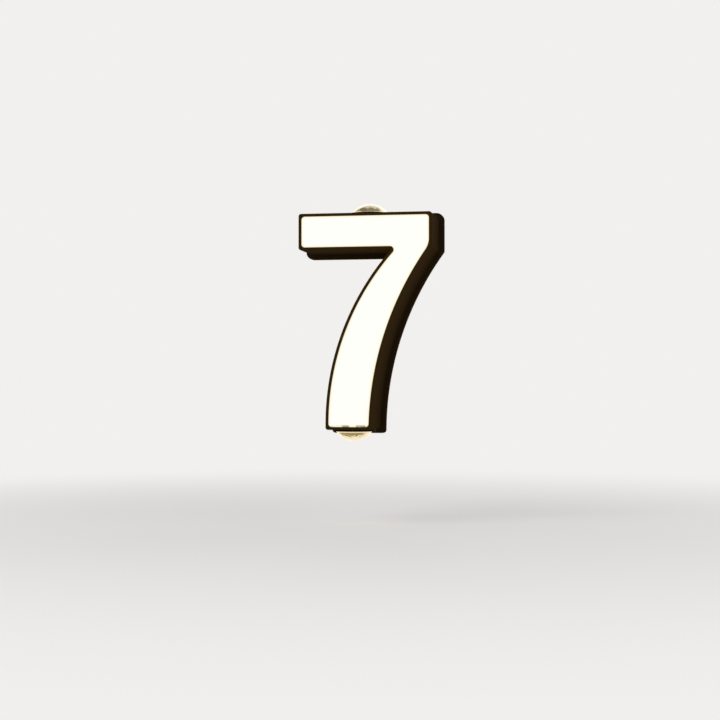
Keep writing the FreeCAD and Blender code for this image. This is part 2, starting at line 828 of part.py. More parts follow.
def make_lens_ring(end):
    """The low dark collar with a threaded skirt that clamps the lens on its seal."""
    body = lamp_body(end, "lens_ring")
    outer = ring_diameter / 2
    opening = ring_opening / 2
    thread = lens_bore / 2 - size.lens_fit
    skirt = thread - size.ring_thread_wall
    lip = size.ring_height - size.ring_lip
    revolve(body, [(opening, lip), (skirt, lip), (skirt, -size.ring_thread_length),
                   (thread, -size.ring_thread_length), (thread, 0), (outer, 0),
                   (outer, size.ring_height), (opening, size.ring_height)])
    round_edges(body, size.ring_edge, lambda edge: is_outer_rim(edge, outer.amount,
                                                                SIZES["ring_height"]))


def is_outer_rim(edge, radius, height):
    middle = edge.BoundBox.Center
    wide = abs(edge.BoundBox.XMax - edge.BoundBox.XMin - 2 * radius) < 1e-3
    centre_height = middle.z - edge.BoundBox.ZLength / 2
    return wide and edge.BoundBox.ZLength < 1e-3 and abs(centre_height - height) < 1e-3


def make_lens(end):
    """A clear glass dome on a flat flange."""
    body = lamp_body(end, "lens")
    neck = ring_opening / 2 - size.lens_fit
    flange = lens_flange_diameter / 2
    back = -(size.lens_bore_depth - size.lens_seal_thickness)
    shoulder = size.ring_height - size.ring_lip
    apex = size.ring_height + size.lens_rise
    centre = apex - size.lens_dome_radius
    dome_foot = centre + root(size.lens_dome_radius * size.lens_dome_radius - neck * neck)
    revolve(body, [(0, back), (flange, back), (flange, shoulder), (neck, shoulder),
                   (neck, dome_foot), (0, apex)], {4: (0, centre, size.lens_dome_radius)})


def make_lens_seal(end):
    body = lamp_body(end, "lens_seal")
    sketch = new_sketch(body, "XY_Plane", -size.lens_bore_depth)
    circle(sketch, 0, 0, lens_flange_diameter)
    circle(sketch, 0, 0, lens_light_bore)
    pad(body, sketch, size.lens_seal_thickness)


def make_reflector(end):
    """A bright cone that gathers the light of the chip under the lens."""
    body = lamp_body(end, "reflector")
    foot = -size.lamp_board_depth
    mouth = -(size.lens_bore_depth + size.turret_ledge)
    throat = size.reflector_throat / 2
    wide = size.reflector_mouth / 2
    revolve(body, [(throat, foot), (throat + size.reflector_wall, foot), (wide, mouth),
                   (wide - size.reflector_wall, mouth)])


def make_lamp_board(end):
    body = lamp_body(end, "lamp_board")
    sketch = new_sketch(body, "XY_Plane", -size.lamp_board_depth)
    circle(sketch, 0, 0, size.lamp_board_diameter)
    for side in (-1, 1):
        circle(sketch, size.lamp_board_screw_spread * side, 0, size.small_tapped_hole)
    pad(body, sketch, size.lamp_board_thickness, reverse=True)


def make_emitter(end):
    """A single power chip: a round base with a clear half ball on it."""
    body = lamp_body(end, "emitter")
    foot = -size.lamp_board_depth
    shelf = foot + size.emitter_base
    outer = size.emitter_diameter / 2
    ball = size.emitter_dome_radius
    revolve(body, [(0, foot), (outer, foot), (outer, shelf), (ball, shelf), (0, shelf + ball)],
            {3: (0, shelf, ball)})


def make_heat_sink(end):
    """A block of extruded aluminium with slots, on the back of the tray."""
    body = lamp_body(end, "heat_sink")
    top = -(size.lamp_board_depth + size.lamp_board_thickness)
    front = tray_lift - lamp_lift
    half = size.heat_sink_width / 2
    block = new_sketch(body, "XY_Plane", top)
    rectangle(block, -half, -front, half, size.heat_sink_back)
    pad(body, block, size.heat_sink_height, reverse=True)
    slots = new_sketch(body, "XY_Plane", top)
    slot_half = size.heat_sink_slot / 2
    near = size.heat_sink_back - size.heat_sink_slot_depth
    for place in (-1, 0, 1):
        middle = size.heat_sink_slot_pitch * place
        rectangle(slots, middle - slot_half, near, middle + slot_half, size.heat_sink_back)
    pocket(body, slots, size.heat_sink_height)
    lamp_holes = new_sketch(body, "XY_Plane", top)
    face_holes = new_sketch(body, lift=front)
    for side in (-1, 1):
        circle(lamp_holes, size.lamp_board_screw_spread * side, 0, size.small_tapped_hole)
        circle(face_holes, size.heat_sink_screw_spread * side,
               top - size.heat_sink_screw_drop, size.tapped_hole)
    pocket(body, lamp_holes, size.small_screw_length)
    pocket(body, face_holes, size.screw_length - size.tray_thickness)


def make_lamp_screws(end):
    body = lamp_body(end, "lamp_screws")
    seat = -size.lamp_board_depth
    for across, length, reverse in ((size.small_screw_diameter, size.small_screw_length, True),
                                    (size.small_screw_head, size.small_screw_head_height, False)):
        sketch = new_sketch(body, "XY_Plane", seat)
        for side in (-1, 1):
            circle(sketch, size.lamp_board_screw_spread * side, 0, across)
        pad(body, sketch, length, reverse)


# ---------------------------------------------------------------- the driver

def driver_body(label, lift=0.0):
    body = new_body(label)
    put(body, driver_place[0], pad_lift + lift, driver_place[1], size.driver_tilt)
    return body


def driver_standoffs():
    across = size.driver_width / 2 - size.driver_wall - size.driver_standoff_diameter / 2
    along = size.driver_length / 2 - size.driver_wall - size.driver_standoff_diameter / 2
    return [(across * i, along * j) for i in (-1, 1) for j in (-1, 1)]


def make_driver_case():
    """An open plastic box with a screw ear and two lead holes at each end."""
    body = driver_body("driver_case")
    half = size.driver_width / 2
    reach = size.driver_length / 2
    corners = [(-half, -reach), (half, -reach), (half, reach), (-half, reach)]
    ears = new_sketch(body)
    ear = size.driver_ear_width / 2
    ear_reach = reach + size.driver_ear_length
    rectangle(ears, -ear, -ear_reach, ear, ear_reach)
    pad(body, ears, size.driver_ear_thickness)
    box = new_sketch(body)
    outline(box, corners)
    pad(body, box, size.driver_case_depth)
    round_edges(body, size.driver_corner, lambda edge: is_driver_corner(edge, half.amount,
                                                                        reach.amount))
    hollow = new_sketch(body, lift=size.driver_case_depth)
    rectangle(hollow, size.driver_wall - half, size.driver_wall - reach,
              half - size.driver_wall, reach - size.driver_wall)
    pocket(body, hollow, size.driver_case_depth - size.driver_wall)
    standoffs = new_sketch(body, lift=size.driver_wall)
    for x, z in driver_standoffs():
        circle(standoffs, x, z, size.driver_standoff_diameter)
    pad(body, standoffs, size.driver_standoff_height)
    ear_holes = new_sketch(body, lift=size.driver_ear_thickness)
    for side in (-1, 1):
        circle(ear_holes, 0, driver_ear_middle * side, size.screw_clearance_hole)
    pocket(body, ear_holes, size.driver_ear_thickness)
    supply_holes = new_sketch(body, "XY_Plane", reach)
    for across in (-size.driver_wire_spread / 2, size.driver_wire_spread / 2):
        circle(supply_holes, across, -size.driver_wire_lift,
               size.mains_wire_diameter + size.driver_hole_clearance)
    pocket(body, supply_holes, size.driver_wall)
    lamp_holes = new_sketch(body, "XY_Plane", -reach)
    for pair in (-size.driver_lamp_wire_shift, size.driver_lamp_wire_shift):
        for across in (pair - size.lamp_wire_pitch / 2, pair + size.lamp_wire_pitch / 2):
            circle(lamp_holes, across, -size.driver_wire_lift,
                   size.lamp_wire_diameter + size.driver_hole_clearance)
    pocket(body, lamp_holes, size.driver_wall, reverse=True)


def is_driver_corner(edge, half, reach):
    first, last = edge.Vertexes[0].Point, edge.Vertexes[-1].Point
    upright = abs(first.x - last.x) < 1e-4 and abs(first.z - last.z) < 1e-4
    return upright and abs(abs(first.x) - half) < 1e-3 and abs(abs(first.z) - reach) < 1e-3


def make_driver_lid():
    """A lid with a shallow plug that drops inside the walls of the case."""
    body = driver_body("driver_lid", size.driver_case_depth)
    half = size.driver_width / 2
    reach = size.driver_length / 2
    cover = new_sketch(body)
    rectangle(cover, -half, -reach, half, reach)
    pad(body, cover, size.driver_lid_thickness)
    round_edges(body, size.driver_corner, lambda edge: is_driver_corner(edge, half.amount,
                                                                        reach.amount))
    plug = new_sketch(body)
    inset = size.driver_wall + size.driver_board_clearance
    rectangle(plug, inset - half, inset - reach, half - inset, reach - inset)
    pad(body, plug, size.driver_lid_thickness, reverse=True)


def make_driver_board():
    body = driver_body("driver_board", size.driver_wall + size.driver_standoff_height)
    inset = size.driver_wall + size.driver_board_clearance
    half = size.driver_width / 2 - inset
    reach = size.driver_length / 2 - inset
    sketch = new_sketch(body)
    rectangle(sketch, -half, -reach, half, reach)
    pad(body, sketch, size.driver_board_thickness)


board_top = size.driver_wall + size.driver_standoff_height + size.driver_board_thickness


def make_driver_transformer():
    """A wound core: a core plate, the slimmer winding and a core plate on top."""
    body = driver_body("driver_transformer", board_top)
    half = size.transformer_width / 2
    reach = size.transformer_length / 2
    third = size.transformer_height / 3
    for layer, inset in enumerate((as_size(0), size.transformer_waist, as_size(0))):
        sketch = new_sketch(body, lift=third * layer)
        rectangle(sketch, inset - half, inset - reach, half - inset, reach - inset)
        pad(body, sketch, third)


def make_driver_capacitor():
    body = driver_body("driver_capacitor", board_top)
    sketch = new_sketch(body)
    place = size.transformer_length / 2 + size.capacitor_diameter
    circle(sketch, 0, -place, size.capacitor_diameter)
    pad(body, sketch, size.capacitor_height)


# ---------------------------------------------------------------- terminal block and earth point

def terminal_body(label, lift=0.0):
    body = new_body(label)
    put(body, terminal_place[0], pad_lift + lift, terminal_place[1], size.terminal_tilt)
    return body


def terminal_poles():
    return [size.terminal_pitch * pole for pole in (-1, 0, 1)]


def make_terminal_block():
    """Three poles side by side, each with a way through for its two leads."""
    body = terminal_body("terminal_block")
    half = size.terminal_width / 2
    reach = size.terminal_length / 2
    block = new_sketch(body)
    rectangle(block, -half, -reach, half, reach)
    pad(body, block, size.terminal_depth)
    ways = new_sketch(body, "XY_Plane")
    wells = new_sketch(body, lift=size.terminal_depth)
    for pole in terminal_poles():
        circle(ways, pole, -size.terminal_wire_lift, size.terminal_wire_hole)
        for side in (-1, 1):
            circle(wells, pole, size.terminal_screw_spread * side, size.terminal_screw_diameter)
    feature = pocket(body, ways, size.terminal_length * 2)
    feature.Midplane = True
    pocket(body, wells, size.terminal_depth - size.terminal_wire_lift)
    fixings = new_sketch(body, lift=size.terminal_depth)
    for side in (-1, 1):
        circle(fixings, size.terminal_pitch / 2 * side, 0, size.small_screw_head)
    pocket(body, fixings, size.terminal_fixing_depth)
    holes = new_sketch(body, lift=size.terminal_depth)
    for side in (-1, 1):
        circle(holes, size.terminal_pitch / 2 * side, 0, size.tapped_hole)
    pocket(body, holes, size.terminal_depth)


def make_terminal_screws():
    """The six clamp screws, one above each lead."""
    body = terminal_body("terminal_screws",
                         size.terminal_wire_lift + size.terminal_wire_hole / 2)
    sketch = new_sketch(body)
    for pole in terminal_poles():
        for side in (-1, 1):
            circle(sketch, pole, size.terminal_screw_spread * side, size.terminal_screw_diameter)
    pad(body, sketch, size.terminal_screw_length)


def make_terminal_fixings():
    """Two slim screws that hold the block on its pads."""
    body = terminal_body("terminal_fixings", size.terminal_depth - size.terminal_fixing_depth)
    shank_length = size.terminal_depth - size.terminal_fixing_depth + size.pad_hole_depth
    for diameter, length, reverse in ((size.screw_diameter, shank_length, True),
                                      (size.small_screw_head, size.small_screw_head_height,
                                       False)):
        sketch = new_sketch(body)
        for side in (-1, 1):
            circle(sketch, size.terminal_pitch / 2 * side, 0, diameter)
        pad(body, sketch, length, reverse)


def make_earth_tag():
    """A ring tag with a crimped barrel, screwed to the base plate."""
    body = new_body("earth_tag")
    put(body, earth_fixing[0], pad_lift, earth_fixing[1], size.terminal_tilt)
    ring = new_sketch(body)
    circle(ring, 0, 0, size.earth_tag_diameter)
    circle(ring, 0, 0, size.screw_clearance_hole)
    pad(body, ring, size.earth_tag_thickness)
    barrel = new_sketch(body, "XY_Plane", -size.earth_tag_diameter / 2 + size.earth_tag_overlap)
    circle(barrel, 0, -earth_barrel_lift, size.mains_wire_diameter)
    pad(body, barrel, size.earth_barrel_length, reverse=True)


# ---------------------------------------------------------------- leads

def lead_path(points):
    """Straight runs joined by arcs, each arc as large as its two runs allow."""
    edges, tightest, start = [], None, points[0]
    for before, corner, after in zip(points, points[1:], points[2:]):
        incoming, outgoing = corner - before, after - corner
        half_turn = incoming.getAngle(outgoing) / 2
        setback = SIZES["lead_bend_share"] * min(incoming.Length, outgoing.Length)
        radius = setback / math.tan(half_turn)
        tightest = radius if tightest is None else min(tightest, radius)
        way_in, way_out = Vector(incoming).normalize(), Vector(outgoing).normalize()
        arc_start, arc_end = corner - way_in * setback, corner + way_out * setback
        inwards = (way_out - way_in).normalize()
        centre = corner + inwards * (radius / math.cos(half_turn))
        middle = centre - inwards * radius
        edges.append(Part.LineSegment(start, arc_start).toShape())
        edges.append(Part.Arc(arc_start, middle, arc_end).toShape())
        start = arc_end
    edges.append(Part.LineSegment(start, points[-1]).toShape())
    return Part.Wire(edges), tightest


def make_lead(label, routes, diameter):
    """Round leads along their routes, as one group of separate solids."""
    solids = []
    for route in routes:
        path, tightest = lead_path(route)
        start_way = (route[1] - route[0]).normalize()
        section = Part.Wire(Part.Circle(route[0], start_way, diameter.amount / 2).toShape())
        solid = path.makePipeShell([section], True, False)
        ideal = math.pi * (diameter.amount / 2) ** 2 * path.Length
        print("%s: %.1f mm long, tightest radius %.1f mm, volume %.3f of its section times length"
              % (label, path.Length, tightest, solid.Volume / ideal))
        solids.append(solid)
    lead = doc.addObject("Part::Feature", label)
    lead.Label = label
    lead.Shape = solids[0] if len(solids) == 1 else Part.makeCompound(solids)
    sub_parts.append(lead)


def at(place, lift):
    """A point of a lead from its place on the front view and its lift off the wall."""
    return Vector(as_size(place[0]).amount, -as_size(lift).amount, as_size(place[1]).amount)


def twins(route, gap, facing=None, apart=None):
    """The two routes of a pair of leads, half a gap to each side of the pair's middle.

    They lie side by side in the plane that facing is normal to, or apart along a fixed
    direction.
    """
    pair = []
    for side in (-0.5, 0.5):
        moved = []
        for place, point in enumerate(route):
            if apart is not None:
                moved.append(point + apart * (gap.amount * side))
                continue
            ways = [(after - before).normalize() for before, after
                    in zip(route[max(place - 1, 0):], route[max(place - 1, 0) + 1:place + 2])]
            normals = [facing.cross(way).normalize() for way in ways]
            both = normals[0] + normals[-1]
            share = 1 + normals[0].dot(normals[-1])
            moved.append(point + both * (gap.amount * side / share))
        pair.append(moved)
    return pair


def make_leads():
    terminal_lift = pad_lift + size.terminal_wire_lift
    driver_lift = pad_lift + size.driver_wire_lift
    half_block = size.terminal_length / 2
    half_case = size.driver_length / 2
    for label, pole, side in (("live_lead", size.terminal_pitch, 1), ("neutral_lead", 0, -1)):
        entry = size.driver_wire_spread / 2 * side
        make_lead(label, [[
            at(from_terminal(as_size(pole), -half_block), terminal_lift),
            at(from_terminal(as_size(pole), -half_block - size.mains_lead_straight),
               terminal_lift + size.mains_lead_rise),
            at(from_driver(entry, half_case + size.mains_lead_entry),
               driver_lift + size.mains_lead_rise),
            at(from_driver(entry, half_case), driver_lift)]], size.mains_wire_diameter)
    barrel_end = size.earth_run - size.earth_tag_diameter / 2 - size.earth_barrel_length
    barrel_end = half_block + barrel_end + size.earth_tag_overlap
    span = barrel_end - half_block
    earth_pole = -size.terminal_pitch
    make_lead("earth_lead", [[
        at(from_terminal(earth_pole, half_block), terminal_lift),
        at(from_terminal(earth_pole, half_block + span * size.earth_lead_straight), terminal_lift),
        at(from_terminal(earth_pole, barrel_end - span * size.earth_lead_straight),
           pad_lift + earth_barrel_lift),
        at(from_terminal(earth_pole, barrel_end), pad_lift + earth_barrel_lift)]],
        size.mains_wire_diameter)
    shift = size.driver_lamp_wire_shift
    lean = math.radians(SIZES["driver_tilt"])
    across_case = Vector(math.cos(lean), 0, -math.sin(lean))
    hole = from_driver(shift, -half_case - size.face_lead_run)
    make_lead("face_leads", twins([
        at(from_driver(shift, -half_case), driver_lift),
        at(from_driver(shift, -half_case - size.face_lead_straight),
           driver_lift + size.face_lead_rise),
        at(hole, tray_front - size.face_lead_climb),
        at(hole, tray_front)], size.lamp_wire_pitch, apart=across_case), size.lamp_wire_diameter)
    board_level = half_height - size.lamp_board_depth - size.lamp_board_thickness / 2
    board_edge = size.lamp_board_diameter / 2
    make_lead("upper_lamp_leads", twins([
        at(upper_hole, tray_front),
        at(upper_hole, tray_front - size.lamp_lead_drop),
        at((upper_hole[0] - size.upper_lead_bend, board_level), lamp_lift + size.lamp_lead_dip),
        at((board_edge + size.lead_seat / 2, board_level), lamp_lift)],
        size.lamp_wire_pitch, facing=Vector(0, 0, 1)), size.lamp_wire_diameter)
    lower = lamps["lower"][0]
    board_back = lamp_lift - board_edge
    make_lead("lower_lamp_leads", twins([
        at(from_driver(-shift, -half_case), driver_lift),
        at((lower - size.lower_lead_shift, size.lower_lead_reach - board_level),
           board_back - size.lower_lead_dip),
        at((lower, size.lower_lead_turn - board_level), board_back - size.lower_lead_climb),
        at((lower, -size.lead_seat - board_level), board_back - size.lead_seat)],
        size.lamp_wire_pitch, apart=Vector(1, 0, 0)), size.lamp_wire_diameter)


upper_hole = (size.lamp_board_diameter / 2 + size.upper_lead_reach,
              half_height - size.lamp_board_depth - size.lamp_board_thickness / 2)
wire_holes = [from_driver(size.driver_lamp_wire_shift, -size.driver_length / 2 - size.face_lead_run),
              upper_hole]


# ---------------------------------------------------------------- build

make_base_plate()
band("base_gasket", -size.gasket_inset, inside_wall + size.gasket_inset, size.base_thickness,
     size.gasket_thickness, size.body_corner, size.inner_corner)
make_cable_grommet()
make_wall_bracket()
make_lock_screws()
screws("base_screws", bosses, size.base_thickness - size.base_skin, size.screw_length,
       towards_wall=False)
make_housing()
plate("face_diffuser", inside_wall - size.face_clearance,
      size.body_depth - size.face_recess - size.face_thickness, size.face_thickness,
      size.cavity_corner, size.cavity_inner_corner)
band("face_seal", inside_wall - size.face_clearance, inside_wall - size.ledge_width,
     ledge_lift, size.face_seal_thickness, size.cavity_corner, size.cavity_inner_corner)
make_led_tray()
make_led_board()
make_face_leds()
screws("tray_screws", bosses, tray_front, size.screw_length)
screws("heat_sink_screws", heat_sink_fixings(), board_front, size.screw_length)
for lamp_end in lamps:
    make_lens_ring(lamp_end)
    make_lens(lamp_end)
    make_lens_seal(lamp_end)
    make_reflector(lamp_end)
    make_lamp_board(lamp_end)
    make_emitter(lamp_end)
    make_heat_sink(lamp_end)
    make_lamp_screws(lamp_end)
make_driver_case()
make_driver_lid()
make_driver_board()
make_driver_transformer()
make_driver_capacitor()
screws("driver_screws", driver_fixings, pad_lift + size.driver_ear_thickness,
       size.driver_ear_thickness + size.pad_hole_depth)
make_terminal_block()
make_terminal_screws()
make_terminal_fixings()
make_earth_tag()
screws("earth_screw", [earth_fixing], pad_lift + size.earth_tag_thickness,
       size.earth_tag_thickness + size.pad_hole_depth)
make_leads()
doc.recompute()

for item in doc.Objects:
    if "Invalid" in item.State or "Error" in item.State:
        raise RuntimeError("%s could not be worked out: %s" % (item.Label, item.State))
for part in sub_parts:
    if part.Shape.isNull() or not part.Shape.isValid():
        raise RuntimeError("%s has no sound shape" % part.Label)
os.makedirs("parts", exist_ok=True)
for part in sub_parts:
    part.Shape.exportStep("parts/%s.step" % part.Label)
    print("%-20s %2d solid(s) %10.1f mm3" % (part.Label, len(part.Shape.Solids), part.Shape.Volume))
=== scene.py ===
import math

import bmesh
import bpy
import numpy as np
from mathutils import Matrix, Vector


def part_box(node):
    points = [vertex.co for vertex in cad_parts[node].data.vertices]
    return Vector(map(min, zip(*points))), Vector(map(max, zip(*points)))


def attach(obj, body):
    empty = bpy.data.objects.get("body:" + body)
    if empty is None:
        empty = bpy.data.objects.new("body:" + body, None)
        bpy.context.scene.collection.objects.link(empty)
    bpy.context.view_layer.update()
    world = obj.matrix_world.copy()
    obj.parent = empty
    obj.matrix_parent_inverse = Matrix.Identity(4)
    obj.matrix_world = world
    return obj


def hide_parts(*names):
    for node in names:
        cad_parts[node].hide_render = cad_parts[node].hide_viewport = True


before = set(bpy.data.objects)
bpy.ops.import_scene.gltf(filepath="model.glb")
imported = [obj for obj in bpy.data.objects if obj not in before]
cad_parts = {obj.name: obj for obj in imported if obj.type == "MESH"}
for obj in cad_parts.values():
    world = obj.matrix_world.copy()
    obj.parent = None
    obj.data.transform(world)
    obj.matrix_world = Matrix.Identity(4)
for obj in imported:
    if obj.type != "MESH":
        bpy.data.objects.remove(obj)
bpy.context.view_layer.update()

# %% [markdown]
# # An illuminated house number, digit 7
#
# The sign is a lamp in the shape of the digit. A nearly matt black plastic shell stands on
# a slightly wider plinth, its whole front is a white light panel, and a small lamp with a
# domed glass lens faces up and another one down.
#
# The solid parts come ready from CAD, in metres, with +Z up and the back of the plinth at
# y = 0. This lesson gives every part its finish, and makes anew the few pieces whose look
# depends on a truly smooth surface.

MM = 0.001

# %% [markdown]
# ## Helpers for materials
#
# A shader is a small network of nodes. It could be written out line by line, but then each
# finish takes a page. One function adds any node with its settings and its inputs, whether
# these are numbers or the outputs of other nodes, so that a whole finish reads as a short
# list. Colours are written as hex values, as on a paint chart, and one function turns them
# into the linear light that the renderer counts in.
#
# A Mix node keeps separate sockets for numbers, vectors and colours, so its colour sockets
# are named here by their place. Noise seldom leaves the range from 0.3 to 0.7, so that
# range is the one that gets stretched.

# %% Colour and node helpers
SHARE, FIRST, SECOND, MIXED = 0, 6, 7, 2
NOISE_LOW, NOISE_HIGH = 0.3, 0.7


def hex_to_linear(code):
    """sRGB to linear light: below 0.04045 a straight line, above it a 2.4 power curve."""
    values = np.array([int(code[i:i + 2], 16) for i in (1, 3, 5)]) / 255
    linear = np.where(values <= 0.04045, values / 12.92, ((values + 0.055) / 1.055) ** 2.4)
    return (*linear.tolist(), 1.0)


def add(tree, kind, inputs=None, output=0, **settings):
    """Adds one node, fills or links its inputs by name or place, and gives one output."""
    node = tree.nodes.new("ShaderNode" + kind)
    for name, value in settings.items():
        setattr(node, name, value)
    pairs = inputs.items() if isinstance(inputs, dict) else enumerate(inputs or [])
    for name, value in pairs:
        if isinstance(value, bpy.types.NodeSocket):
            tree.links.new(value, node.inputs[name])
        else:
            node.inputs[name].default_value = value
    return node.outputs[output] if len(node.outputs) else node


def new_finish(name, colour, **surface):
    """A material with its shader set, and its object coordinates in metres."""
    material = bpy.data.materials.new(name)
    material.use_nodes = True
    tree = material.node_tree
    shader = tree.nodes["Principled BSDF"]
    shader.inputs["Base Color"].default_value = hex_to_linear(colour)
    for socket, value in surface.items():
        shader.inputs[socket.replace("_", " ")].default_value = value
    return material, tree, shader, add(tree, "TexCoord", output="Object")


def scale_for(size_mm):
    """The scale of a texture whose spots are size_mm apart in object coordinates."""
    return 1 / (size_mm * MM)

# %% [markdown]
# Most mouldings share two things: a fine relief from the tool, and a colour and gloss that
# drift a little over a centimetre. Both come from noise, at sizes given in millimetres.

# %% Relief and drift
def relief(tree, shader, coords, size_mm, depth_mm, strength):
    """A relief whose bumps are size_mm apart and depth_mm high."""
    noise = add(tree, "TexNoise", {"Vector": coords, "Scale": scale_for(size_mm)})
    bump = add(tree, "Bump", {"Height": noise, "Strength": strength, "Distance": depth_mm * MM})
    tree.links.new(bump, shader.inputs["Normal"])


def drift(tree, shader, coords, size_mm, first, second, rough, spread):
    """Base colour between two hex shades, and roughness within spread of rough."""
    cloud = add(tree, "TexNoise", {"Vector": coords, "Scale": scale_for(size_mm)})
    share = add(tree, "MapRange", [cloud, NOISE_LOW, NOISE_HIGH, 0.0, 1.0])
    colour = add(tree, "Mix", {SHARE: share, FIRST: hex_to_linear(first),
                               SECOND: hex_to_linear(second)}, output=MIXED, data_type="RGBA")
    tree.links.new(colour, shader.inputs["Base Color"])
    gloss = add(tree, "MapRange", [cloud, NOISE_LOW, NOISE_HIGH, rough - spread, rough + spread])
    tree.links.new(gloss, shader.inputs["Roughness"])


def dress(material, *names):
    """Gives a finish to parts that come from CAD."""
    for name in names:
        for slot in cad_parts[name].material_slots:
            slot.material = material
    print(material.name, "->", ", ".join(names))

# %% [markdown]
# ## Smooth copies of curved parts
#
# The stem has two large circular sides, and CAD hands them over as loose flat triangles
# that catch the light one by one. They could be divided further, but it is enough to join
# the triangles and to shade across shallow edges: the copy keeps the exact shape, and only
# edges sharper than 30 degrees stay crisp. The directions that each loose triangle stored
# at its corners no longer fit once it has neighbours, and would show as creases, so they
# are thrown away first.

# %% Join the triangles
WELD, SLIVER, CREASE = 0.001 * MM, 0.0001 * MM, math.radians(30)


def place_piece(name, mesh, material, stands_for):
    """Merges doubles, shades shallow edges smooth, and lets the piece stand for a part."""
    work = bmesh.new()
    work.from_mesh(mesh)
    bmesh.ops.remove_doubles(work, verts=work.verts, dist=WELD)
    bmesh.ops.dissolve_degenerate(work, edges=work.edges, dist=SLIVER)
    bmesh.ops.recalc_face_normals(work, faces=work.faces)
    work.to_mesh(mesh)
    work.free()
    if "custom_normal" in mesh.attributes:
        mesh.attributes.remove(mesh.attributes["custom_normal"])
    mesh.polygons.foreach_set("use_smooth", np.ones(len(mesh.polygons), bool))
    mesh.set_sharp_from_angle(angle=CREASE)
    mesh.materials.clear()
    mesh.materials.append(material)
    piece = bpy.data.objects.new(name, mesh)
    bpy.context.scene.collection.objects.link(piece)
    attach(piece, "root")
    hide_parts(stands_for)
    print(piece.name, len(mesh.polygons), "faces,", material.name)


def smooth_copy(material, *names):
    """Puts a joined copy in the place of each part that comes from CAD."""
    for name in names:
        place_piece(name + "_smooth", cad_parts[name].data.copy(), material, name)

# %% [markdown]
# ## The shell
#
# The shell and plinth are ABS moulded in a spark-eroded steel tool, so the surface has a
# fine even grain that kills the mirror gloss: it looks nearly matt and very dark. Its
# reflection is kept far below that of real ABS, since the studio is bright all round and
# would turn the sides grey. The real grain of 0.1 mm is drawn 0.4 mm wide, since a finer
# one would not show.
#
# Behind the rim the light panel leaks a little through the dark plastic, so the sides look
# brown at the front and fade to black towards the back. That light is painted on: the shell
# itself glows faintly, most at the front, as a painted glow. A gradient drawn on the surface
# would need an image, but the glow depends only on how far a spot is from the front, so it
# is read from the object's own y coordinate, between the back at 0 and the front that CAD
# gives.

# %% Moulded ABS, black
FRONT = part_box("housing")[0][1]
RIM_BLACK = "#16120e"
# Painted glow: how strongly the shell emits at its back and at its front.
GLOW_PAINTED_AT_BACK, GLOW_PAINTED_AT_FRONT = 0.0035, 0.015


def moulded_abs_black():
    """ABS, IOR 1.54, with a faint painted glow for the panel's light in it."""
    material, tree, shader, coords = new_finish("moulded_abs_black", RIM_BLACK, IOR=1.54,
                                                Specular_IOR_Level=0.001)
    relief(tree, shader, coords, size_mm=0.4, depth_mm=0.03, strength=0.7)
    drift(tree, shader, coords, 9.0, "#1b140b", "#20180d", rough=0.7, spread=0.06)
    # Painted glow, orange-brown: weak at the back of the shell and stronger at the front.
    depth = add(tree, "SeparateXYZ", [coords], output="Y")
    painted_glow = add(tree, "MapRange", [depth, 0.0, FRONT, GLOW_PAINTED_AT_BACK, GLOW_PAINTED_AT_FRONT],
               interpolation_type="SMOOTHSTEP")
    shader.inputs["Emission Color"].default_value = hex_to_linear("#ffb030")
    tree.links.new(painted_glow, shader.inputs["Emission Strength"])
    return material


smooth_copy(moulded_abs_black(), "housing", "base_plate")

# %% [markdown]
# ## The luminous face
#
# The front is 3 mm of opal acrylic lit from behind. It looks evenly white, but the last
# two or three millimetres along the rim are creamy, because there the ledge hides the
# chips and the light crosses more of the plastic. A texture of the digit could hold that
# band, but the shade depends only on the distance to the rim. The face is bounded by
# straight lines and two circles, and the shortest of the distances to them is the one
# that counts. The half width and half height come from the CAD box, and the circles
# follow the CAD outline.

# %% Measure the face
face_low, face_high = (np.array(corner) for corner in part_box("face_diffuser"))
HALF_WIDTH, HALF_HEIGHT = float(face_high[0]), float(face_high[2])
BAR_BOTTOM = 68.8 * MM
RIGHT_CENTRE, RIGHT_RADIUS = (298.2 * MM, 0, -103.1 * MM), 294.7 * MM
LEFT_CENTRE, LEFT_RADIUS = (202.5 * MM, 0, -94.3 * MM), 236.5 * MM
NOTCH_ROUND, GLOW_ROUND = 3.4 * MM, 3.2 * MM
notch_rise = BAR_BOTTOM - NOTCH_ROUND - LEFT_CENTRE[2]
notch_reach = LEFT_RADIUS + NOTCH_ROUND
notch_run = math.sqrt(notch_reach ** 2 - notch_rise ** 2)
NOTCH_CENTRE = (LEFT_CENTRE[0] - notch_run, 0, BAR_BOTTOM - NOTCH_ROUND)
UP_THE_CURVE = (notch_rise / notch_reach, 0, notch_run / notch_reach)
print("face", np.round((face_high - face_low) / MM, 1).tolist(), "mm, notch centre at x =",
      round(NOTCH_CENTRE[0] / MM, 2))

# %% [markdown]
# Where two edges meet, the light does not reach into the corner: the lit shape is rounder
# than the panel. The lesser of two distances gives a sharp corner, so a circle rounds it.
# The notch under the bar has its own circle, and next to it only the distance to that
# circle counts.

# %% Distance to the rim
def rounded_least(tree, first, second):
    """GLOW_ROUND less the length of (GLOW_ROUND - first, GLOW_ROUND - second), where
    neither of these goes below zero."""
    short = [add(tree, "Math", [add(tree, "Math", [GLOW_ROUND, far], operation="SUBTRACT"), 0.0],
                 operation="MAXIMUM") for far in (first, second)]
    pair = add(tree, "CombineXYZ", [*short, 0.0])
    length = add(tree, "VectorMath", [pair], output="Value", operation="LENGTH")
    return add(tree, "Math", [GLOW_ROUND, length], operation="SUBTRACT")


